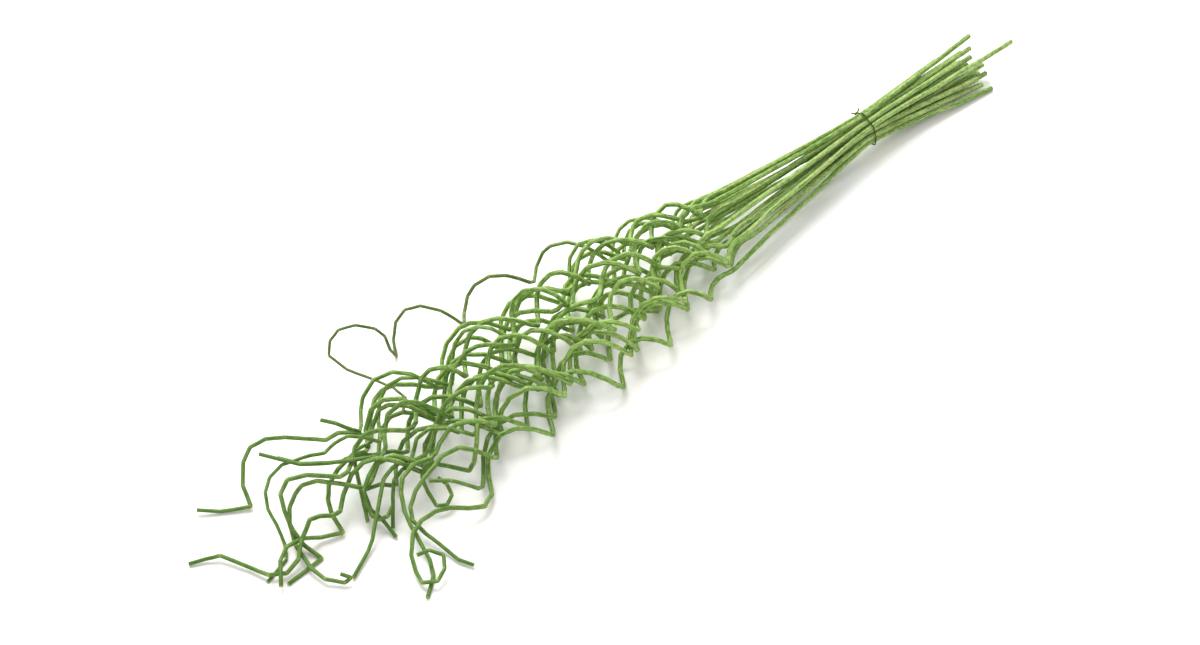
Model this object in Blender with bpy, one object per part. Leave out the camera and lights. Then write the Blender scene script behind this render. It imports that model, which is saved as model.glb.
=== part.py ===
# Tied bunch of curled willow canes, lying down on a flat surface
import math
import random

import bmesh
import bpy
import numpy as np
from mathutils import Matrix

# Sizes in millimetres, turned into metres where the meshes are made
MM = 0.001
SIDES = 6                   # faces round a cane
EDGE_DEGREES = 50.0         # steeper edges are shaded sharp
BUTT_RADIUS = 1.7           # at the cut end
CURL_START_RADIUS = 1.52    # where the curls begin
HEAP_RADIUS = 1.38          # where a cane starts to thin to its tip
TIP_RADIUS = 1.1
CURL_START = 240.0          # from the butt, along a cane
TIP_LENGTH = 160.0          # over which a cane thins to its tip
CLEARANCE = 0.35            # kept between canes, and between canes and the tie
FLAT_SHARE = 0.82           # of a cane's radius, its height where it lies on the surface

# Straight stretch
STRAIGHT_STEP = 29.0        # between its slight bends
STRAIGHT_END = 3.0          # left free before the first curl
STRAIGHT_STRAY = 0.5        # how far a bend lies off the line
HELD_LENGTH = 45.0          # each side of the tie, where the canes lie straight

# Curls
FULL_X = 330.0              # where the heap of curls is widest
FACET_DEGREES = 42.0        # share of a turn between two bends
FACET_SPREAD = 0.18         # how far a bend strays, as a share of that
CORNER_DEGREES = -37.5      # where in a turn its lowest near side lies
COIL_RADIUS = (8.6, 11.6)   # first and last
COIL_SPREAD = 0.2           # how far one turn's radius strays
OPEN_SHARE = 0.16           # of the turns that have come half undone
OPEN_SCALE = 0.5            # radius of such a turn, as a share of the others
FIRST_PITCH = 44.0
PITCH_GROWTH = 0.07         # each turn is this much longer than the first
PITCH_SPREAD = 0.15         # how far one turn's length strays from the rule
LEAD_SHARE = 0.7            # of a turn, from the end of the straight stretch to the first corner
WANDER = 4.5                # how far a curl's axis strays to each side
WANDER_LEAST = 0.4          # smallest share of that, on the steadiest cane
WANDER_WAVE = (13.0, 22.0)  # shortest and longest wave of that, per radian
AXIS_EASE = 60.0            # length over which the wandering starts and stops
AXIS_SMOOTH = 15            # each side of a bend in the axis, rounded off
TAIL_EASE = 0.45            # share of the last turn in which it closes up before a tail

# Wire tie
TIE_X = 113.0               # from the butts to the tie
TIE_CENTRE = (-14.5, 17.0)  # Y and Z of the bunch there
TIE_THINNING = 0.97         # a cane's radius at the tie, as a share of the butt's
WIRE_RADIUS = 0.5
WIRE_GAP = 0.5              # between the wire and the canes that it holds
WIRE_STEP_DEGREES = 14.0
WIRE_LAP_DEGREES = 28.0     # how far the wire runs past its start
WIRE_LAP = 2.4              # distance between the lapped ends, along the bunch
WIRE_START_DEGREES = 128.0
WIRE_END = 2.6              # length of each bent end
WIRE_END_LEAN = 0.8         # along the bunch, as a share of that
WIRE_END_LIFT = 0.6         # away from the canes

# Drawing the canes into a round bundle
BUNDLE_ROUNDS = 400
BUNDLE_START = 0.62         # first spacing, as a share of a cane's width
BUNDLE_PULL = 0.995         # how much each round draws the bundle in
BUNDLE_PASSES = 6           # pushes apart in each round
BUNDLE_PUSH = 0.3           # of the overlap, made good by each push
GOLDEN_DEGREES = 137.508    # turn from one cane's first place to the next

# Settling: how the routes are pushed clear of each other
SETTLE_ROUNDS = 420
SETTLE_PUSH = 1.3           # of the missing gap, made good in each round
SPREAD_ROUNDS = 300         # the first rounds spread each push along the cane
SPREAD_PASSES = 2
SPREAD_SHARE = 0.25         # of the difference between two points, evened out in a pass
SPREAD_PUSH = 1.6           # makes up for what the spreading takes from a push
SEARCH_MARGIN = 4.0
SEARCH_EVERY = 6            # rounds between two searches for near neighbours
NEAR_SEGMENTS = 4           # a cane's own segments closer than this are left alone

# Cut ends, as X, Y, Z
BUTTS = [
    (-14, -25.5, 20), (-7, -19, 16.5), (-4, -24, 12), (-2, -14.5, 14), (-37, -6, 13),
    (20, -27, 16.5), (-6, -6.5, 9.5), (-5, -2.5, 5), (-6, -9, 1.3), (9, 0.5, 9),
    (6, 2.5, 4), (2, 8, 1.3), (13, -20, 9.5), (12, -13, 18), (9, -9, 13.5),
    (0, -15, 8.5), (15, -21, 1.3), (15, -28.5, 7), (21, -15, 3.5), (-3, -26, 3),
]

# Every cane: heap is Y and Z of its curl's axis at FULL_X, corner is the X of its first corner.
# A tail is the free end past the last full curl, point by point, as X, Y, Z.
CANES = [
    {"heap": (20, 11), "corners": (300, 345, 389, 447, 512),
     "axis": [(389, 20, 11), (447, 22, 12), (500, 31, 12)],
     "tail": [(513, 41, 5), (522, 38, 8), (531, 32, 11), (539, 29, 12), (548, 27, 10),
              (557, 30, 9), (567, 39, 6), (572, 48, 3), (575, 56, 2), (569, 62, 3),
              (561, 59, 5), (556, 53, 8), (560, 46, 10), (567, 44, 10)]},
    {"heap": (9, 14), "corners": (270, 316, 365, 405, 456),
     "axis": [(400, 6, 14), (456, 9, 14)],
     "tail": [(482, 4, 24), (492, 13, 20), (498, 17, 12), (500, 15, 5), (508, 5, 8), (516, 2, 14),
              (523, 3, 17), (528, 6, 15), (531, 14, 11), (532, 22, 6), (527, 25, 5), (521, 23, 7),
              (519, 17, 10), (521, 12, 13)]},
    {"heap": (-3, 11), "corners": (278, 326, 381, 434, 506),
     "axis": [(381, 2, 12), (434, 12, 12), (506, 24, 13)], "end": 538},
    {"heap": (-22, 26), "corners": (283, 329, 384, 423, 470),
     "axis": [(384, -8, 18), (423, 0, 14), (470, -3, 13), (560, -10, 17)],
     "tail": [(593, -13, 16), (602, -10, 9), (610, -4, 4), (620, -2, 2), (628, -8, 2),
              (631, -20, 1.5), (637, -38, 3), (644, -43, 2), (652, -47, 1.5)]},
    {"heap": (-58, 17), "corners": (268, 319, 366, 419, 468), "slim": 0.72,
     "axis": [(366, -73, 17), (419, -84, 17), (440, -86, 9), (456, -91, 16)],
     "ease": 0.1,
     "tail": [(466, -87, 10), (465, -92, 17), (468, -97, 22), (476, -105, 25), (485, -110, 24),
              (492, -110, 20), (497, -106, 14), (495, -93, 10), (489, -75, 9), (488, -60, 12),
              (493, -44, 18), (506, -32, 23)]},
    {"heap": (-50, 13), "corner": 262, "axis": [(440, -48, 13)],
     "tail": [(546, -53, 16), (563, -68, 20), (572, -74, 21), (581, -77, 19), (589, -74, 15),
              (597, -66, 8), (601, -55, 2), (615, -65, 1.5), (624, -74, 3)]},
    {"heap": (-37, 11), "corner": 284, "axis": [(440, -35, 11)],
     "tail": [(551, -35, 15), (561, -41, 17), (570, -47, 19), (577, -58, 21)]},
    {"heap": (-45, 24), "corner": 274, "axis": [(440, -42, 23)], "slim": 0.8,
     "tail": [(557, -41, 22), (565, -44, 24), (581, -49, 25), (591, -48, 23), (598, -44, 19),
              (602, -38, 13), (604, -29, 9), (608, -18, 4), (613, -12, 3), (631, -7, 1.5)]},
    {"heap": (-33, 22), "corner": 288, "axis": [(440, -32, 21)],
     "tail": [(546, -30, 20), (559, -27, 20), (569, -24, 17), (574, -20, 12), (577, -14, 7),
              (579, -3, 2), (591, -9, 2), (600, -12, 5), (611, -13, 6), (619, -9, 5),
              (629, 3, 2)]},
    {"heap": (-34, 33), "corner": 262, "axis": [(440, -36, 31)],
     "tail": [(564, -20, 22), (577, -33, 24), (586, -39, 23), (594, -36, 20), (598, -29, 14),
              (601, -20, 8), (601, -11, 4.5), (599, 2, 1.8), (624, 3, 1.8)]},
    {"heap": (-25, 13), "corner": 266, "axis": [(440, -26, 13)],
     "tail": [(540, -20, 20), (552, -25, 22), (563, -32, 23), (575, -41, 25), (587, -61, 28)]},
    {"heap": (-14, 12), "corner": 277, "axis": [(440, -12, 12)],
     "tail": [(556, -9, 15), (565, -19, 19), (574, -28, 22), (581, -33, 20), (586, -33, 17),
              (592, -31, 13), (597, -25, 9), (604, -12, 5), (609, 5, 2.5), (609, 16, 1.8),
              (603, 25, 1.8), (599, 26, 4), (603, 22, 7)]},
    {"heap": (-12, 23), "corner": 281, "axis": [(440, -10, 21)],
     "tail": [(556, -12, 12), (561, -1, 8), (560, 7, 6), (561, 20, 2)]},
    {"heap": (-16, 34), "corner": 271, "axis": [(440, -16, 30)],
     "tail": [(546, -5, 18), (555, 1, 13), (564, 7, 7), (572, 13, 3), (579, 17, 2),
              (597, 25, 1.5)]},
    {"heap": (-2, 32), "corner": 292, "axis": [(440, -4, 28)],
     "tail": [(534, -3, 18), (541, -2, 16), (547, 3, 11), (552, 8, 6), (558, 14, 2)]},
    {"heap": (1, 22), "corner": 264, "axis": [(440, 5, 22)],
     "tail": [(530, 1, 22), (539, 3, 20), (545, 8, 16), (550, 16, 11), (553, 24, 8),
              (556, 34, 5), (560, 46, 2.5), (566, 55, 1.8), (573, 60, 1.8), (579, 64, 1.8)]},
    {"heap": (12, 24), "corner": 279, "axis": [(440, 14, 21)],
     "tail": [(530, 11, 19), (538, 12, 15), (546, 16, 11), (550, 22, 8), (550, 32, 5),
              (549, 46, 3), (549, 57, 2), (546, 66, 2)]},
    {"heap": (-24, 37), "corner": 286, "axis": [(440, -30, 31), (520, -20, 27)],
     "tail": [(543, -12, 25), (552, -10, 22), (558, -8, 17), (561, -3, 12), (563, 4, 9),
              (561, 8, 7), (557, 10, 8), (552, 8, 10)]},
    {"heap": (-42, 31), "corner": 270, "axis": [(440, -43, 26), (510, -52, 21)], "end": 556},
    {"heap": (-6, 17), "corner": 295, "axis": [(440, -14, 20), (520, -30, 24)],
     "tail": [(540, -32, 18), (546, -27, 16), (552, -18, 13), (557, -10, 10), (562, -2, 8),
              (566, 4, 6)]},
]


def clear_scene():
    for item in list(bpy.data.objects):
        bpy.data.objects.remove(item, do_unlink=True)


def packed_slots(count, spacing):
    # Circles drawn together into a round bundle, as the tie draws the canes
    golden = math.radians(GOLDEN_DEGREES)
    turns = np.arange(count)
    reach = spacing * BUNDLE_START * np.sqrt(turns + 0.5)
    points = np.stack([reach * np.cos(turns * golden), reach * np.sin(turns * golden)], axis=1)
    for _ in range(BUNDLE_ROUNDS):
        points *= BUNDLE_PULL
        for _ in range(BUNDLE_PASSES):
            offset = points[:, None] - points[None]
            distance = np.linalg.norm(offset, axis=2) + np.eye(count) * 1e9
            overlap = np.clip(spacing - distance, 0, None)
            push = (offset / distance[..., None] * overlap[..., None]).sum(axis=1)
            points += push * BUNDLE_PUSH
    return points


def matched(first, second):
    # Order of second that pairs it with first, with no two canes trading sides
    order = list(range(len(first)))
    cost = ((first[:, None] - second[None]) ** 2).sum(axis=2)
    improved = True
    while improved:
        improved = False
        for i in range(len(order)):
            for j in range(i + 1, len(order)):
                kept = cost[i, order[i]] + cost[j, order[j]]
                swapped = cost[i, order[j]] + cost[j, order[i]]
                if swapped < kept - 1e-9:
                    order[i], order[j] = order[j], order[i]
                    improved = True
    return order


def corner_positions(cane, end_x, rng):
    # X of each turn's corner, one pitch past both ends
    if "corners" in cane:
        corners = list(cane["corners"])
    else:
        corners = [float(cane["corner"])]
    while corners[-1] < end_x:
        turn = len(corners) - 1
        stray = 1 + rng.uniform(-PITCH_SPREAD, PITCH_SPREAD)
        corners.append(corners[-1] + FIRST_PITCH * (1 + PITCH_GROWTH * turn) * stray)
    return [corners[0] - FIRST_PITCH] + corners


def smooth_step(value):
    value = np.clip(value, 0, 1)
    return value * value * (3 - 2 * value)


def cane_route(cane, butt, slot, rng):
    # Centre line of one cane: straight from the butt through the tie, curls, then its free end
    tail = [np.array(point, float) for point in cane.get("tail", [])]
    end_x = tail[0][0] if tail else float(cane["end"])
    axis = [butt, (TIE_X, slot[0], slot[1]), (FULL_X, *cane["heap"]), *cane["axis"]]
    if tail:
        axis.append(tuple(tail[0]))
    elif axis[-1][0] < end_x:
        axis.append((end_x, axis[-1][1], axis[-1][2] + 2))
    axis = np.array(axis, float)
    dense_x = np.arange(axis[0, 0], end_x + 1, 1.0)
    window = np.ones(2 * AXIS_SMOOTH + 1) / (2 * AXIS_SMOOTH + 1)
    lines = []
    for column in (1, 2):
        raw = np.interp(dense_x, axis[:, 0], axis[:, column])
        phase = rng.uniform(0, 2 * math.pi)
        begun = smooth_step((dense_x - CURL_START) / AXIS_EASE)
        ended = smooth_step((end_x - dense_x) / AXIS_EASE)
        reach = WANDER * rng.uniform(WANDER_LEAST, 1)
        raw += reach * begun * ended * np.sin(dense_x / rng.uniform(*WANDER_WAVE) + phase)
        padded = np.pad(raw, AXIS_SMOOTH, mode="reflect", reflect_type="odd")
        lines.append(np.convolve(padded, window, mode="valid"))

    corners = corner_positions(cane, end_x, rng)
    pitch = corners[2] - corners[1]
    curl_start = corners[1] - LEAD_SHARE * pitch
    turn_count = len(corners) - 1
    step = FACET_DEGREES / 360
    turns = np.arange(1 - LEAD_SHARE, turn_count, step)
    turns = turns + np.array([rng.uniform(-FACET_SPREAD, FACET_SPREAD) for _ in turns]) * step
    curl_x = np.interp(turns, range(turn_count + 1), corners)
    room = end_x - (0.5 * step * pitch if tail else 0)
    curl = [(x, t) for x, t in zip(curl_x, turns) if curl_start < x < room]

    straight_count = max(2, round((curl_start - butt[0]) / STRAIGHT_STEP))
    straight_x = list(np.linspace(butt[0], curl_start - STRAIGHT_END, straight_count + 1))
    points = []
    for index, x in enumerate(straight_x):
        loose = 0 if index == 0 or abs(x - TIE_X) < HELD_LENGTH else STRAIGHT_STRAY
        y = np.interp(x, dense_x, lines[0]) + rng.uniform(-loose, loose)
        z = np.interp(x, dense_x, lines[1]) + rng.uniform(-loose, loose)
        points.append((x, y, z))

    coil_scale = [rng.uniform(1 - COIL_SPREAD, 1 + COIL_SPREAD) for _ in corners]
    if "corner" in cane:
        coil_scale = [scale * (OPEN_SCALE if rng.random() < OPEN_SHARE else 1)
                      for scale in coil_scale]
    last_pitch = corners[-1] - corners[-2]
    for x, turn in curl:
        share = (x - curl_start) / (end_x - curl_start)
        coil = COIL_RADIUS[0] + (COIL_RADIUS[1] - COIL_RADIUS[0]) * share
        coil *= np.interp(turn, range(len(corners)), coil_scale)
        coil *= smooth_step((x - curl_start) / pitch)
        if tail:
            coil *= smooth_step((end_x - x) / (cane.get("ease", TAIL_EASE) * last_pitch))
        angle = math.radians(CORNER_DEGREES + 360 * (turn - 1))
        y = np.interp(x, dense_x, lines[0]) + coil * math.cos(angle)
        z = np.interp(x, dense_x, lines[1]) + coil * math.sin(angle)
        points.append((x, y, z))
    return np.array(points + [tuple(point) for point in tail])


def cane_radii(points, slim):
    # Thick at the butt, a little thinner through the curls, thin at the tip
    runs = np.linalg.norm(np.diff(points, axis=0), axis=1)
    along = np.concatenate([[0], np.cumsum(runs)])
    stops = (0, CURL_START, along[-1] - TIP_LENGTH, along[-1])
    sizes = (BUTT_RADIUS, CURL_START_RADIUS * (1 + slim) / 2, HEAP_RADIUS * slim, TIP_RADIUS * slim)
    return np.interp(along, stops, sizes)


def closest_places(a, ab, c, cd):
    # Shares along two sets of segments where each pair comes closest
    between = a - c
    aa = (ab * ab).sum(axis=1)
    cc = (cd * cd).sum(axis=1)
    ac = (ab * cd).sum(axis=1)
    ra = (ab * between).sum(axis=1)
    rc = (cd * between).sum(axis=1)
    spread = aa * cc - ac * ac
    s = np.where(spread > 1e-9, (ac * rc - cc * ra) / np.maximum(spread, 1e-9), 0.5)
    s = np.clip(s, 0, 1)
    t = np.clip((ac * s + rc) / cc, 0, 1)
    s = np.clip((ac * t - ra) / aa, 0, 1)
    return s, t


def settle(routes, radii):
    # Push the canes clear of each other and of the surface, a little at a time
    owner = np.concatenate([np.full(len(route), i) for i, route in enumerate(routes)])
    place = np.concatenate([np.arange(len(route)) for route in routes])
    points = np.concatenate(routes)
    size = np.concatenate(radii)
    starts = np.flatnonzero(owner[:-1] == owner[1:])
    ends = starts + 1
    pairs = None
    for step in range(SETTLE_ROUNDS):
        if step % SEARCH_EVERY == 0:
            middle = (points[starts] + points[ends]) / 2
            half = np.linalg.norm(points[ends] - points[starts], axis=1) / 2
            reach = half + size[starts]
            i, j = np.triu_indices(len(starts), 1)
            apart = np.linalg.norm(middle[i] - middle[j], axis=1)
            near = apart < reach[i] + reach[j] + CLEARANCE + SEARCH_MARGIN
            same = owner[starts[i]] == owner[starts[j]]
            neighbours = same & (place[starts[j]] - place[starts[i]] < NEAR_SEGMENTS)
            keep = near & ~neighbours
            pairs = (i[keep], j[keep])
        i, j = pairs
        a, b = starts[i], ends[i]
        c, d = starts[j], ends[j]
        s, t = closest_places(points[a], points[b] - points[a], points[c], points[d] - points[c])
        first = points[a] + (points[b] - points[a]) * s[:, None]
        second = points[c] + (points[d] - points[c]) * t[:, None]
        gap = first - second
        distance = np.linalg.norm(gap, axis=1)
        wanted = size[a] * (1 - s) + size[b] * s + size[c] * (1 - t) + size[d] * t + CLEARANCE
        short = np.clip(wanted - distance, 0, None)
        push = gap / np.maximum(distance, 1e-6)[:, None] * (short * 0.5)[:, None]
        moves = np.zeros_like(points)
        counts = np.zeros(len(points))
        for index, share, sign in ((a, 1 - s, 1), (b, s, 1), (c, 1 - t, -1), (d, t, -1)):
            np.add.at(moves, index, push * (sign * share)[:, None])
            np.add.at(counts, index, (short > 0) * share)
        moves /= np.maximum(counts, 1)[:, None]
        if step < SPREAD_ROUNDS:
            moves = spread_moves(moves, owner)
        points = points + moves * SETTLE_PUSH
        points[:, 2] = np.maximum(points[:, 2], size * FLAT_SHARE)
    bounds = np.cumsum([len(route) for route in routes])[:-1]
    return np.split(points, bounds), float(short.max())


def spread_moves(moves, owner):
    # Share each move with the points before and after it on the same cane
    for _ in range(SPREAD_PASSES):
        linked = (owner[:-1] == owner[1:])[:, None]
        step = (moves[1:] - moves[:-1]) * linked * SPREAD_SHARE
        moves = moves.copy()
        moves[:-1] += step
        moves[1:] -= step
    return moves * SPREAD_PUSH


def ring_axes(points):
    # Level side vector and up vector square to the centre line at each point
    runs = np.diff(points, axis=0)
    runs /= np.linalg.norm(runs, axis=1)[:, None]
    heading = np.concatenate([runs[:1], runs[:-1] + runs[1:], runs[-1:]])
    heading /= np.linalg.norm(heading, axis=1)[:, None]
    side = np.cross(heading, (0, 0, 1))
    side /= np.linalg.norm(side, axis=1)[:, None]
    return side, np.cross(side, heading)


def add_tube(name, points, radii, material, sides=SIDES):
    # Closed tube of flat-bottomed rings, never below the surface
    side, up = ring_axes(points)
    mesh = bpy.data.meshes.new(name)
    body = bmesh.new()
    rings = []
    for centre, across, rise, radius in zip(points, side, up, radii):
        ring = []
        for index in range(sides):
            angle = 2 * math.pi * index / sides
            spot = centre + radius * (across * math.cos(angle) + rise * math.sin(angle))
            spot[2] = max(spot[2], 0)
            ring.append(body.verts.new(spot * MM))
        rings.append(ring)
    for lower, upper in zip(rings, rings[1:]):
        for index in range(sides):
            following = (index + 1) % sides
            body.faces.new((lower[index], lower[following], upper[following], upper[index]))
    body.faces.new(rings[0][::-1])
    body.faces.new(rings[-1])
    bmesh.ops.recalc_face_normals(body, faces=body.faces)
    body.to_mesh(mesh)
    body.free()
    mesh.materials.append(material)
    mesh.shade_smooth()
    mesh.set_sharp_from_angle(angle=math.radians(EDGE_DEGREES))
    item = bpy.data.objects.new(name, mesh)
    bpy.context.collection.objects.link(item)
    return item


def bunch_section(routes, radii, x):
    # Where each cane crosses the plane at x, as Y, Z and radius
    section = []
    for route, size in zip(routes, radii):
        index = int(np.flatnonzero(route[:, 0] <= x)[-1])
        share = (x - route[index, 0]) / (route[index + 1, 0] - route[index, 0])
        spot = route[index] + (route[index + 1] - route[index]) * share
        section.append((spot[1], spot[2], size[index] * (1 - share) + size[index + 1] * share))
    return np.array(section)


def tie_route(routes, radii):
    # Wire once round the bunch, lapped past its start, with both ends bent along the canes
    turns = np.arange(0, 360 + WIRE_LAP_DEGREES, WIRE_STEP_DEGREES)
    points = []
    for degrees in turns:
        x = TIE_X + WIRE_LAP * (degrees / turns[-1] - 0.5)
        section = bunch_section(routes, radii, x)
        angle = math.radians(WIRE_START_DEGREES + degrees)
        away = np.array([math.cos(angle), math.sin(angle)])
        reach = section[:, :2] @ away + section[:, 2] + WIRE_GAP + WIRE_RADIUS
        outer = int(reach.argmax())
        spot = section[outer, :2] + away * (section[outer, 2] + WIRE_GAP + WIRE_RADIUS)
        points.append((x, spot[0], spot[1]))
    points = np.array(points)
    gaps = np.linalg.norm(np.diff(points, axis=0), axis=1)
    points = points[np.concatenate([[True], gaps > WIRE_RADIUS])]
    centre = np.array([TIE_X, *bunch_section(routes, radii, TIE_X)[:, :2].mean(axis=0)])
    ends = []
    for spot, lean in ((points[0], -1), (points[-1], 1)):
        away = spot - centre
        away[0] = 0
        away /= np.linalg.norm(away)
        bend = away * WIRE_END_LIFT + np.array([lean * WIRE_END_LEAN, 0, 0])
        ends.append(spot + WIRE_END * bend)
    return np.concatenate([[ends[0]], points, [ends[1]]])


def new_material(name, colour, roughness, metallic):
    material = bpy.data.materials.new(name)
    material.use_nodes = True
    shader = material.node_tree.nodes["Principled BSDF"]
    shader.inputs["Base Color"].default_value = (*colour, 1)
    shader.inputs["Roughness"].default_value = roughness
    shader.inputs["Metallic"].default_value = metallic
    material.diffuse_color = (*colour, 1)
    return material


def bunch_routes():
    # Settled centre lines and radii of all the canes
    rng = random.Random(11)
    heaps = np.array([cane["heap"] for cane in CANES], float)
    slots = packed_slots(len(CANES), 2 * BUTT_RADIUS * TIE_THINNING + CLEARANCE)
    leaving = heaps - heaps.mean(axis=0)
    leaving *= slots.std() / leaving.std(axis=0)
    slots = slots[matched(leaving, slots)]
    butts = np.array(BUTTS, float)
    entering = butts[:, 1:] - butts[:, 1:].mean(axis=0)
    entering *= slots.std() / entering.std(axis=0)
    butts = butts[matched(slots, entering)]
    slots = slots + TIE_CENTRE
    routes = [cane_route(cane, tuple(butt), tuple(slot), rng)
              for cane, butt, slot in zip(CANES, butts, slots)]
    radii = [cane_radii(route, cane.get("slim", 1.0)) for cane, route in zip(CANES, routes)]
    routes, worst = settle(routes, radii)
    print("largest gap still short by", round(worst, 4), "mm")
    return routes, radii


def centre_on_surface(items):
    # Origin under the middle of the bunch, on the surface that it lies on
    places = np.array([vertex.co for item in items for vertex in item.data.vertices])
    shift = (places.max(axis=0) + places.min(axis=0)) / 2
    shift[2] = places[:, 2].min()
    for item in items:
        item.data.transform(Matrix.Translation(-shift))
    print("recentred by", (shift / MM).round(2), "mm")


def main():
    clear_scene()
    dyed = new_material("dyed_cane", (0.24, 0.38, 0.12), 0.6, 0.0)
    wire = new_material("green_wire", (0.04, 0.09, 0.02), 0.45, 0.3)
    routes, radii = bunch_routes()
    items = [add_tube(f"cane_{index + 1:02d}", route, size, dyed)
             for index, (route, size) in enumerate(zip(routes, radii))]
    tie = tie_route(routes, radii)
    items.append(add_tube("tie", tie, np.full(len(tie), WIRE_RADIUS), wire))
    centre_on_surface(items)


main()
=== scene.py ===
import math
import random

import bpy
import numpy as np
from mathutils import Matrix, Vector


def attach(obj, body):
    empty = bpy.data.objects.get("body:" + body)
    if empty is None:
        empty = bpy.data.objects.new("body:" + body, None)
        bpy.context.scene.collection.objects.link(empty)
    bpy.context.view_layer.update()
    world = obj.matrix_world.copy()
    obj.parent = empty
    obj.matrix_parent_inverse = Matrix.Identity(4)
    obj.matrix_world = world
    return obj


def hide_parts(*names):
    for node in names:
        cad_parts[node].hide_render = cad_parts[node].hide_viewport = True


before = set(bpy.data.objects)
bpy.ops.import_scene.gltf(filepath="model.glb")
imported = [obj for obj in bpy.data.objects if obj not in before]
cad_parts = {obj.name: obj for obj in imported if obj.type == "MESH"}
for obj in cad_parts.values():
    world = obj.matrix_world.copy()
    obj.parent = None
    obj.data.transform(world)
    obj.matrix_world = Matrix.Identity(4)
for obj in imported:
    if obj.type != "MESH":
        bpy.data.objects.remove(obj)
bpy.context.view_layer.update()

mm = 0.001


# colours and nodes

def hexColour(code):
    channels = [int(code[i:i + 2], 16) / 255 for i in (1, 3, 5)]
    linear = [c / 12.92 if c <= 0.04045 else ((c + 0.055) / 1.055) ** 2.4 for c in channels]
    return (*linear, 1.0)


def addNode(tree, kind, sockets=None, **settings):
    node = tree.nodes.new(kind)
    for name, value in settings.items():
        setattr(node, name, value)
    for key, value in (sockets or {}).items():
        if isinstance(value, bpy.types.NodeSocket):
            tree.links.new(value, node.inputs[key])
        else:
            node.inputs[key].default_value = value
    return node


def newMaterial(name):
    material = bpy.data.materials.new(name)
    material.use_nodes = True
    return material, material.node_tree, material.node_tree.nodes["Principled BSDF"]


def stretchedNoise(tree, space, width, length, detail=3.0, roughness=0.55):
    # noise drawn out along the cane: width round it, length along it, both in metres
    drawn = addNode(tree, "ShaderNodeVectorMath", {0: space, 1: (1.0, 1.0, width / length)},
                    operation="MULTIPLY")
    return addNode(tree, "ShaderNodeTexNoise",
                   {"Vector": drawn.outputs["Vector"], "Scale": 1 / width,
                    "Detail": detail, "Roughness": roughness}).outputs["Fac"]


def stepped(tree, value, low, high, top=1.0):
    return addNode(tree, "ShaderNodeMapRange",
                   {"Value": value, "From Min": low, "From Max": high, "To Max": top}).outputs["Result"]


def mixed(tree, amount, first, second, blend="MIX"):
    node = addNode(tree, "ShaderNodeMix", data_type="RGBA", blend_type=blend)
    for socket, value in ((node.inputs[0], amount), (node.inputs[6], first), (node.inputs[7], second)):
        if isinstance(value, bpy.types.NodeSocket):
            tree.links.new(value, socket)
        else:
            socket.default_value = value
    return node.outputs[2]


def times(tree, first, second):
    return addNode(tree, "ShaderNodeMath", {0: first, 1: second}, operation="MULTIPLY").outputs[0]


# dyed cane

caneLook = {
    "paleDyeAndHighlight": "#B2CC7C",          # paler dye in streaks and at kinks, and painted highlight on the raised mottle
    "pale": "#ABC47E",           # thin dye on the straight stretch
    "green": "#8DB24C",          # body of the dye
    "deep": "#5B8726",           # where the dye pooled
    "darkerTowardTips": "#466A20",         # darker green, laid on towards the tips
    "paintedGrooveShade": "#3C6614",           # painted shade in the grooves between fibres and in the hollows of the mottle
    "olive": "#7F8740",          # thin dye over brown skin
    "tan": "#BCA270",            # bare cane where the dye missed
    "rust": "#A0602F",           # scorched spots
    "skin": "#5C6434",           # dye over the brown skin left on one thin cane
    "fibreWidth": 0.5 * mm,      # real fibres are finer, drawn coarse enough to show
    "fibreLength": 15 * mm,
    "streakWidth": 1.0 * mm,
    "streakLength": 55 * mm,
    "mottleWidth": 1.4 * mm,     # crumpled skin of the steamed curls
    "mottleLength": 3.2 * mm,
    "patchLength": 38 * mm,
    "bumpDepth": 0.3 * mm,
    "endPore": "#55642A",        # sawn end: open pores, the wood round them, pith, dyed rim
    "endWood": "#A8AE62",
    "endPith": "#6B5A2E",
    "endRim": "#7A9440",
    "poreWidth": 0.3 * mm,       # real pores are finer, drawn coarse enough to show
}


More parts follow.
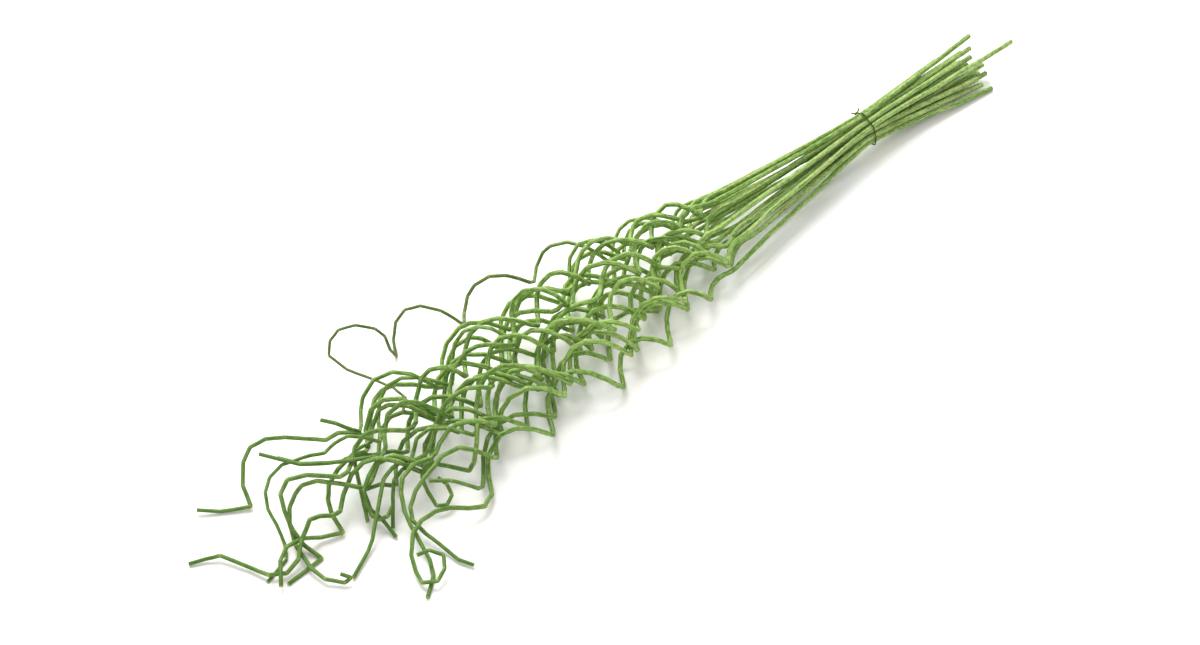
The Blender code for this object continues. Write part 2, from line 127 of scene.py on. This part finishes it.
def dyedCane():
    # peeled willow cane, steamed into curls and dip-dyed: matt, with fibres drawn along it
    material, tree, shader = newMaterial("dipDyedCane")
    look = caneLook
    tint = {name: hexColour(code) for name, code in look.items() if isinstance(code, str)}
    space = addNode(tree, "ShaderNodeAttribute", attribute_name="caneSpace").outputs["Vector"]
    packed = addNode(tree, "ShaderNodeAttribute", attribute_name="caneTraits").outputs["Vector"]
    traits = addNode(tree, "ShaderNodeSeparateXYZ", {0: packed})
    tone, kink, share = traits.outputs[0], traits.outputs[1], traits.outputs[2]
    fibre = stretchedNoise(tree, space, look["fibreWidth"], look["fibreLength"])
    streak = stretchedNoise(tree, space, look["streakWidth"], look["streakLength"], 2.0)
    mottle = stretchedNoise(tree, space, look["mottleWidth"], look["mottleLength"], 4.0, 0.7)
    patch = stretchedNoise(tree, space, look["patchLength"] / 4, look["patchLength"], 2.0)

    toned = addNode(tree, "ShaderNodeMath", {0: tone, 1: patch}, operation="ADD").outputs[0]
    colour = mixed(tree, stepped(tree, toned, 0.55, 1.45), tint["deep"], tint["green"])
    colour = mixed(tree, stepped(tree, streak, 0.42, 0.66, 0.8), colour, tint["paleDyeAndHighlight"])
    straight = stepped(tree, share, 0.42, 0.25)          # the straight stretch took less dye
    thin = times(tree, straight, stepped(tree, toned, 0.5, 1.3, 0.6))
    colour = mixed(tree, thin, colour, tint["pale"])
    colour = mixed(tree, stepped(tree, patch, 0.56, 0.68, 0.55), colour, tint["olive"])
    bare = times(tree, straight, stepped(tree, streak, 0.54, 0.70, 0.6))
    colour = mixed(tree, bare, colour, tint["tan"])
    # painted highlight: the pale colour laid on the high points of the mottle relief
    colour = mixed(tree, stepped(tree, mottle, 0.50, 0.62, 0.65), colour, tint["paleDyeAndHighlight"])
    darkerTowardTips = stepped(tree, share, 0.62, 1.0, 0.85)       # darker green towards the tips
    colour = mixed(tree, darkerTowardTips, colour, tint["darkerTowardTips"])
    colour = mixed(tree, stepped(tree, mottle, 0.70, 0.78, 0.8), colour, tint["rust"])
    # painted shade: dark colour laid in the low parts of the mottle relief
    colour = mixed(tree, stepped(tree, mottle, 0.50, 0.34, 0.75), colour, tint["paintedGrooveShade"])
    skinned = times(tree, stepped(tree, tone, 0.0, -0.3, 0.8), stepped(tree, share, 0.4, 0.6))
    colour = mixed(tree, skinned, colour, tint["skin"])
    crease = times(tree, kink, stepped(tree, fibre, 0.35, 0.65, 0.8))
    colour = mixed(tree, crease, colour, tint["paleDyeAndHighlight"])
    # painted shade: dark colour laid in the grooves of the fibre relief
    colour = mixed(tree, stepped(tree, fibre, 0.54, 0.36, 0.7), colour, tint["paintedGrooveShade"])
    tree.links.new(colour, shader.inputs["Base Color"])
    matt = addNode(tree, "ShaderNodeMapRange", {"Value": fibre, "To Min": 0.55, "To Max": 0.75})
    tree.links.new(matt.outputs["Result"], shader.inputs["Roughness"])
    shader.inputs["IOR"].default_value = 1.5
    shader.inputs["Specular IOR Level"].default_value = 0.3
    relief = addNode(tree, "ShaderNodeMath", {0: fibre, 1: mottle}, operation="ADD").outputs[0]
    bump = addNode(tree, "ShaderNodeBump", {"Height": relief, "Strength": 0.8,
                                            "Distance": look["bumpDepth"]})
    tree.links.new(bump.outputs["Normal"], shader.inputs["Normal"])
    return material


def cutCaneEnd():
    # sawn end of the cane: open pores in a pale ring, a darker pith, dye soaked in at the rim
    material, tree, shader = newMaterial("sawnCaneEnd")
    look = caneLook
    tint = {name: hexColour(look[name]) for name in ("endPore", "endWood", "endPith", "endRim")}
    space = addNode(tree, "ShaderNodeAttribute", attribute_name="caneSpace").outputs["Vector"]
    pores = addNode(tree, "ShaderNodeTexVoronoi", {"Vector": space, "Scale": 1 / look["poreWidth"]})
    pored = stepped(tree, pores.outputs["Distance"], 0.15, 0.5)
    colour = mixed(tree, pored, tint["endPore"], tint["endWood"])
    flat = addNode(tree, "ShaderNodeVectorMath", {0: space, 1: (1.0, 1.0, 0.0)}, operation="MULTIPLY")
    length = addNode(tree, "ShaderNodeVectorMath", {0: flat.outputs[0]}, operation="LENGTH")
    radius = length.outputs["Value"]
    colour = mixed(tree, stepped(tree, radius, 0.35 * mm, 0.15 * mm, 0.7), colour, tint["endPith"])
    colour = mixed(tree, stepped(tree, radius, 0.95 * mm, 1.5 * mm, 0.8), colour, tint["endRim"])
    tree.links.new(colour, shader.inputs["Base Color"])
    shader.inputs["Roughness"].default_value = 0.85
    bump = addNode(tree, "ShaderNodeBump", {"Height": pored, "Strength": 0.6, "Distance": 0.12 * mm})
    tree.links.new(bump.outputs["Normal"], shader.inputs["Normal"])
    return material


wireLook = {
    "shade": "#24380E",          # lacquer as it dried
    "worn": "#45641C",           # rubbed thinner
    "rubWidth": 1.2 * mm,
    "roughness": 0.5,
    "bumpDepth": 0.05 * mm,
}


def lacqueredWire():
    # soft iron wire under green lacquer: thin, half matt along its twist, rubbed in places
    material, tree, shader = newMaterial("lacqueredIronWire")
    look = wireLook
    place = addNode(tree, "ShaderNodeTexCoord").outputs["Object"]
    rub = addNode(tree, "ShaderNodeTexNoise", {"Vector": place, "Scale": 1 / look["rubWidth"],
                                               "Detail": 4.0})
    colour = mixed(tree, stepped(tree, rub.outputs["Fac"], 0.4, 0.65), hexColour(look["shade"]),
                   hexColour(look["worn"]))
    tree.links.new(colour, shader.inputs["Base Color"])
    shader.inputs["Roughness"].default_value = look["roughness"]
    shader.inputs["Specular IOR Level"].default_value = 0.25
    bump = addNode(tree, "ShaderNodeBump", {"Height": rub.outputs["Fac"], "Strength": 0.3,
                                            "Distance": look["bumpDepth"]})
    tree.links.new(bump.outputs["Normal"], shader.inputs["Normal"])
    return material


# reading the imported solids

def reached(links, ring):
    # corners in rings, outwards from the given ones
    done = set()
    rings = []
    while ring:
        done |= ring
        rings.append(ring)
        ring = {v for corner in ring for v in links[corner]} - done
    return rings


def ringLine(node, corners=6):
    # centres and radii of a packed tube, ring by ring from its end with the smaller X
    mesh = node.data
    spots = []
    welded = []
    seen = {}
    for vertex in mesh.vertices:
        key = tuple(round(c, 6) for c in vertex.co)
        if key not in seen:
            seen[key] = len(spots)
            spots.append(tuple(vertex.co))
        welded.append(seen[key])
    spots = np.array(spots)
    links = [set() for _ in spots]
    for edge in mesh.edges:
        a, b = (welded[v] for v in edge.vertices)
        if a != b:
            links[a].add(b)
            links[b].add(a)
    end = min(reached(links, {0})[-1])
    first = {int(v) for v in np.argsort(np.linalg.norm(spots - spots[end], axis=1))[:corners]}
    rings = [spots[sorted(ring)] for ring in reached(links, first) if len(ring) == corners]
    if rings[0][:, 0].mean() > rings[-1][:, 0].mean():
        rings.reverse()
    centres = [ring.mean(axis=0) for ring in rings]
    radii = [np.linalg.norm(ring - centre, axis=1).mean() for ring, centre in zip(rings, centres)]
    return np.array(centres), np.array(radii)


def carriedFrames(points):
    # side and rise vectors carried along the line without twist
    runs = np.diff(points, axis=0)
    runs /= np.linalg.norm(runs, axis=1)[:, None]
    headings = np.concatenate([runs[:1], runs[:-1] + runs[1:], runs[-1:]])
    headings /= np.linalg.norm(headings, axis=1)[:, None]
    side = np.cross(headings[0], (0.0, 0.0, 1.0))
    side /= np.linalg.norm(side)
    sides = [side]
    for heading in headings[1:]:
        side = sides[-1] - heading * (sides[-1] @ heading)
        sides.append(side / np.linalg.norm(side))
    sides = np.array(sides)
    return headings, sides, np.cross(headings, sides)


# canes

caneShape = {
    "sides": 14,
    "bendReach": 0.8 * mm,    # from a kink to where the cane runs straight again
    "bendShare": 0.3,         # most of a short run that a bend may take
    "bendPull": 0.25,         # how far the bend's middle is drawn in to each side
    "fadeShare": 0.25,        # of a kink's pale crease, left at the ends of its bend
    "turnGain": 6,            # full crease from a turn of 1 / 6 on
    "swellGain": 8,           # full swelling from a turn of 1 / 8 on
    "runStep": 9 * mm,        # between two stray points of a straight run
    "thickness": (0.98, 1.01),    # least and most on a straight run, as a share of the radius
    "knuckle": 0.12,          # swelling at a kink, as a share of the radius
    "swellTail": 0.2,         # of that swelling, left past the kink
    "waver": 0.12 * mm,       # how far a straight run strays
    "oval": 0.035,            # how far a cane is from round
    "flute": 0.025,           # depth of the ridges along it, as a share of the radius
    "chamfer": 0.12 * mm,
    "rim": 0.93,              # radius left at a sawn end, past the chamfer
    "floorGap": 0.02 * mm,
    "grainShift": 1.3,        # keeps two canes from sharing the same grain, in metres
    "skinned": "cane_05",     # the thin one that kept its brown skin
    "skinnedTone": -0.4,
    "toneRange": (0.1, 1.0),  # how pale the dye came out, cane by cane
    "endRings": ((0.55, 0.03 * mm), (0.0, -0.05 * mm)),    # radius share and lift on a sawn end
    "edgeDegrees": 48,        # steeper edges are shaded sharp
}


def finePath(centres, radii, rng):
    # every kink gets a short tight bend, every run between kinks a slight waver
    shape = caneShape
    rows = [(centres[0], radii[0], 0.0)]
    for i in range(1, len(centres) - 1):
        before = centres[i - 1] - centres[i]
        after = centres[i + 1] - centres[i]
        lengths = np.linalg.norm(before), np.linalg.norm(after)
        reach = min(shape["bendReach"], shape["bendShare"] * min(lengths))
        entry = centres[i] + before / lengths[0] * reach
        leave = centres[i] + after / lengths[1] * reach
        turn = 1 + (before @ after) / (lengths[0] * lengths[1])
        swell = shape["knuckle"] * rng.uniform(0.3, 1.0) * min(1, turn * shape["swellGain"])
        runs = max(1, round(lengths[0] / shape["runStep"]))
        for k in range(1, runs + 1):
            part = k / (runs + 1)
            spot = centres[i - 1] * (1 - part) + centres[i] * part
            spot = spot + np.array([rng.uniform(-1, 1) for _ in range(3)]) * shape["waver"]
            size = radii[i - 1] * (1 - part) + radii[i] * part
            rows.append((spot, size * rng.uniform(*shape["thickness"]), 0.0))
        middle = centres[i] * (1 - 2 * shape["bendPull"]) + (entry + leave) * shape["bendPull"]
        strength = min(1, turn * shape["turnGain"])
        faded = shape["fadeShare"] * strength
        rows.append((entry, radii[i], faded))
        rows.append((middle, radii[i] * (1 + swell), strength))
        rows.append((leave, radii[i] * (1 + swell * shape["swellTail"]), faded))
    rows.append((centres[-1], radii[-1], 0.0))
    return rows


def buildCane(name, node, index, finishes):
    rng = random.Random(100 + index)
    shape = caneShape
    centres, radii = ringLine(node)
    rows = finePath(centres, radii, rng)
    points = np.array([row[0] for row in rows])
    headings, sides, rises = carriedFrames(points)
    runs = np.linalg.norm(np.diff(points, axis=0), axis=1)
    along = np.concatenate([[0.0], np.cumsum(runs)])
    tone = shape["skinnedTone"] if name == shape["skinned"] else rng.uniform(*shape["toneRange"])
    offset = shape["grainShift"] * index
    ovalTurn = rng.uniform(0, math.pi)
    flutes = [rng.uniform(-1, 1) * shape["flute"] for _ in range(shape["sides"])]

    # each ring: its place, its row, its radius, how kinked it is, how far along it lies
    last = len(rows) - 1
    chamfer = shape["chamfer"]
    rings = [(spot, k, size, kink, along[k]) for k, (spot, size, kink) in enumerate(rows)]
    rings[0] = (points[0] + headings[0] * chamfer, 0, radii[0], 0.0, chamfer)
    rings[-1] = (points[-1] - headings[-1] * chamfer, last, radii[-1], 0.0, along[-1] - chamfer)
    rings.insert(0, (points[0], 0, radii[0] * shape["rim"], 0.0, 0.0))
    rings.append((points[-1], last, radii[-1] * shape["rim"], 0.0, along[-1]))

    vertices = []
    spaces = []
    traits = []
    for spot, k, size, kink, reach in rings:
        for j in range(shape["sides"]):
            angle = 2 * math.pi * j / shape["sides"]
            width = size * (1 + shape["oval"] * math.cos(2 * angle + ovalTurn) + flutes[j])
            place = spot + width * (sides[k] * math.cos(angle) + rises[k] * math.sin(angle))
            place[2] = max(place[2], shape["floorGap"])
            vertices.append(place)
            spaces.append((width * math.cos(angle), width * math.sin(angle), reach + offset))
            traits.append((tone, kink, reach / along[-1]))
    faces = []
    count = shape["sides"]
    for k in range(len(rings) - 1):
        for j in range(count):
            a, b = k * count + j, k * count + (j + 1) % count
            faces.append((a, b, b + count, a + count))
    capFaces = []
    for ringIndex, k, sign in ((0, 0, -1), (len(rings) - 1, last, 1)):
        centre = rings[ringIndex][0]
        outer = [ringIndex * count + j for j in range(count)]
        for scale, lift in shape["endRings"]:
            inner = []
            for j in range(count if scale else 1):
                angle = 2 * math.pi * j / count
                size = rings[ringIndex][2] * scale
                lifted = lift * sign * rng.uniform(0.5, 1.5)
                place = centre + size * (sides[k] * math.cos(angle) + rises[k] * math.sin(angle))
                place = place + headings[k] * lifted
                place[2] = max(place[2], shape["floorGap"])
                inner.append(len(vertices))
                vertices.append(place)
                spaces.append((size * math.cos(angle), size * math.sin(angle),
                               rings[ringIndex][4] + offset))
                traits.append((tone, 0.0, rings[ringIndex][4] / along[-1]))
            for j in range(count):
                following = (j + 1) % count
                if scale:
                    face = (outer[j], outer[following], inner[following], inner[j])
                else:
                    face = (outer[j], outer[following], inner[0])
                capFaces.append(face if sign > 0 else face[::-1])
            outer = inner
    mesh = bpy.data.meshes.new(name + "Look")
    mesh.from_pydata([tuple(v) for v in vertices], [], faces + capFaces)
    for attribute, values in (("caneSpace", spaces), ("caneTraits", traits)):
        layer = mesh.attributes.new(attribute, "FLOAT_VECTOR", "POINT")
        layer.data.foreach_set("vector", np.array(values, dtype=np.float32).ravel())
    for finish in finishes:
        mesh.materials.append(finish)
    mesh.polygons.foreach_set("material_index", [0] * len(faces) + [1] * len(capFaces))
    mesh.shade_smooth()
    mesh.set_sharp_from_angle(angle=math.radians(shape["edgeDegrees"]))
    piece = bpy.data.objects.new(name + "Look", mesh)
    bpy.context.collection.objects.link(piece)
    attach(piece, "root")
    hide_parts(name)
    return len(mesh.polygons)


# tie

tieShape = {
    "sides": 12,
    "strandDepth": 0.16,      # how deep the twist cuts in, as a share of the radius
    "twistPitch": 2.4 * mm,
    "stepsBetween": 5,        # points on the curve for each packed ring
    "edgeDegrees": 60,
}


def rounded(points, steps):
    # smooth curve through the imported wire's ring centres
    padded = np.concatenate([points[:1], points, points[-1:]])
    out = []
    for a, b, c, d in zip(padded, padded[1:], padded[2:], padded[3:]):
        for k in range(steps):
            t = k / steps
            out.append(0.5 * (2 * b + (c - a) * t + (2 * a - 5 * b + 4 * c - d) * t * t
                              + (3 * b - a - 3 * c + d) * t ** 3))
    out.append(points[-1])
    return np.array(out)


def buildTie(finish):
    shape = tieShape
    centres, radii = ringLine(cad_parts["tie"])
    points = rounded(centres, shape["stepsBetween"])
    headings, sides, rises = carriedFrames(points)
    along = np.concatenate([[0.0], np.cumsum(np.linalg.norm(np.diff(points, axis=0), axis=1))])
    radius = float(radii.mean())
    vertices = []
    count = shape["sides"]
    for k, spot in enumerate(points):
        for j in range(count):
            angle = 2 * math.pi * j / count
            twist = 2 * math.pi * along[k] / shape["twistPitch"]
            size = radius * (1 - shape["strandDepth"] * math.cos(angle - twist) ** 2)
            vertices.append(spot + size * (sides[k] * math.cos(angle) + rises[k] * math.sin(angle)))
    faces = []
    for k in range(len(points) - 1):
        for j in range(count):
            a, b = k * count + j, k * count + (j + 1) % count
            faces.append((a, b, b + count, a + count))
    faces.append(tuple(range(count))[::-1])
    faces.append(tuple(range(len(vertices) - count, len(vertices))))
    mesh = bpy.data.meshes.new("tieWire")
    mesh.from_pydata([tuple(v) for v in vertices], [], faces)
    mesh.materials.append(finish)
    mesh.shade_smooth()
    mesh.set_sharp_from_angle(angle=math.radians(shape["edgeDegrees"]))
    piece = bpy.data.objects.new("tieWire", mesh)
    bpy.context.collection.objects.link(piece)
    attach(piece, "root")
    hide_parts("tie")


# studio

studio = {
    "photoAzimuth": 133.6,     # degrees, 0 looks along +Y
    "photoElevation": 42.0,
    "distance": 1.45,
    "lens": 72.0,
    "lookAt": (0.0473, 0.0007, 0.0),
    "skyStrength": 0.86,
    "keyPower": 44.0,
    "keySize": 1.2,
    "keyPlace": (-0.35, -1.1, 1.35),
    "floor": "#F8F4EF",
    "floorGrain": "#F9F9F8",
    "floorHalf": 4.0,
}


def buildStudio():
    scene = bpy.context.scene
    scene.view_settings.view_transform = "Standard"
    world = bpy.data.worlds.new("studioSky")
    world.use_nodes = True
    sky = world.node_tree.nodes["Background"]
    sky.inputs["Color"].default_value = (1.0, 1.0, 1.0, 1.0)
    sky.inputs["Strength"].default_value = studio["skyStrength"]
    scene.world = world

    material, tree, shader = newMaterial("paperBackdrop")     # rolled studio paper: flat and matt
    grain = addNode(tree, "ShaderNodeTexNoise", {"Scale": 1 / (6 * mm), "Detail": 2.0})
    shade = mixed(tree, stepped(tree, grain.outputs["Fac"], 0.3, 0.7), hexColour(studio["floor"]),
                  hexColour(studio["floorGrain"]))
    tree.links.new(shade, shader.inputs["Base Color"])
    shader.inputs["Roughness"].default_value = 0.9
    shader.inputs["Specular IOR Level"].default_value = 0.1
    half = studio["floorHalf"]
    mesh = bpy.data.meshes.new("floor")
    mesh.from_pydata([(-half, -half, 0), (half, -half, 0), (half, half, 0), (-half, half, 0)],
                     [], [(0, 1, 2, 3)])
    mesh.materials.append(material)
    floor = bpy.data.objects.new("floor", mesh)
    bpy.context.collection.objects.link(floor)

    lamp = bpy.data.lights.new("keyLight", "AREA")
    lamp.size = studio["keySize"]
    lamp.energy = studio["keyPower"]
    key = bpy.data.objects.new("keyLight", lamp)
    key.location = studio["keyPlace"]
    aim = Vector(studio["lookAt"]) - Vector(studio["keyPlace"])
    key.rotation_mode = "QUATERNION"
    key.rotation_quaternion = aim.to_track_quat("-Z", "Y")
    bpy.context.collection.objects.link(key)


def buildCamera():
    azimuth, elevation = math.radians(studio["photoAzimuth"]), math.radians(studio["photoElevation"])
    back = Vector((math.sin(azimuth) * math.cos(elevation), -math.cos(azimuth) * math.cos(elevation),
                   math.sin(elevation)))
    lens = bpy.data.cameras.new("photoCamera")
    lens.lens = studio["lens"]
    lens.sensor_width = 36.0
    lens.clip_start = 0.05
    camera = bpy.data.objects.new("photoCamera", lens)
    camera.location = Vector(studio["lookAt"]) + back * studio["distance"]
    camera.rotation_mode = "QUATERNION"
    camera.rotation_quaternion = (-back).to_track_quat("-Z", "Y")
    bpy.context.collection.objects.link(camera)
    bpy.context.scene.camera = camera


buildCamera()
buildStudio()
print("studio and camera made")

caneFinishes = [dyedCane(), cutCaneEnd()]
caneNames = sorted(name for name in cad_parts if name.startswith("cane_"))
faceCount = sum(buildCane(name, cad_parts[name], i, caneFinishes)
                for i, name in enumerate(caneNames))
print(len(caneNames), "canes made with", faceCount, "faces")

buildTie(lacqueredWire())
print("tie made")
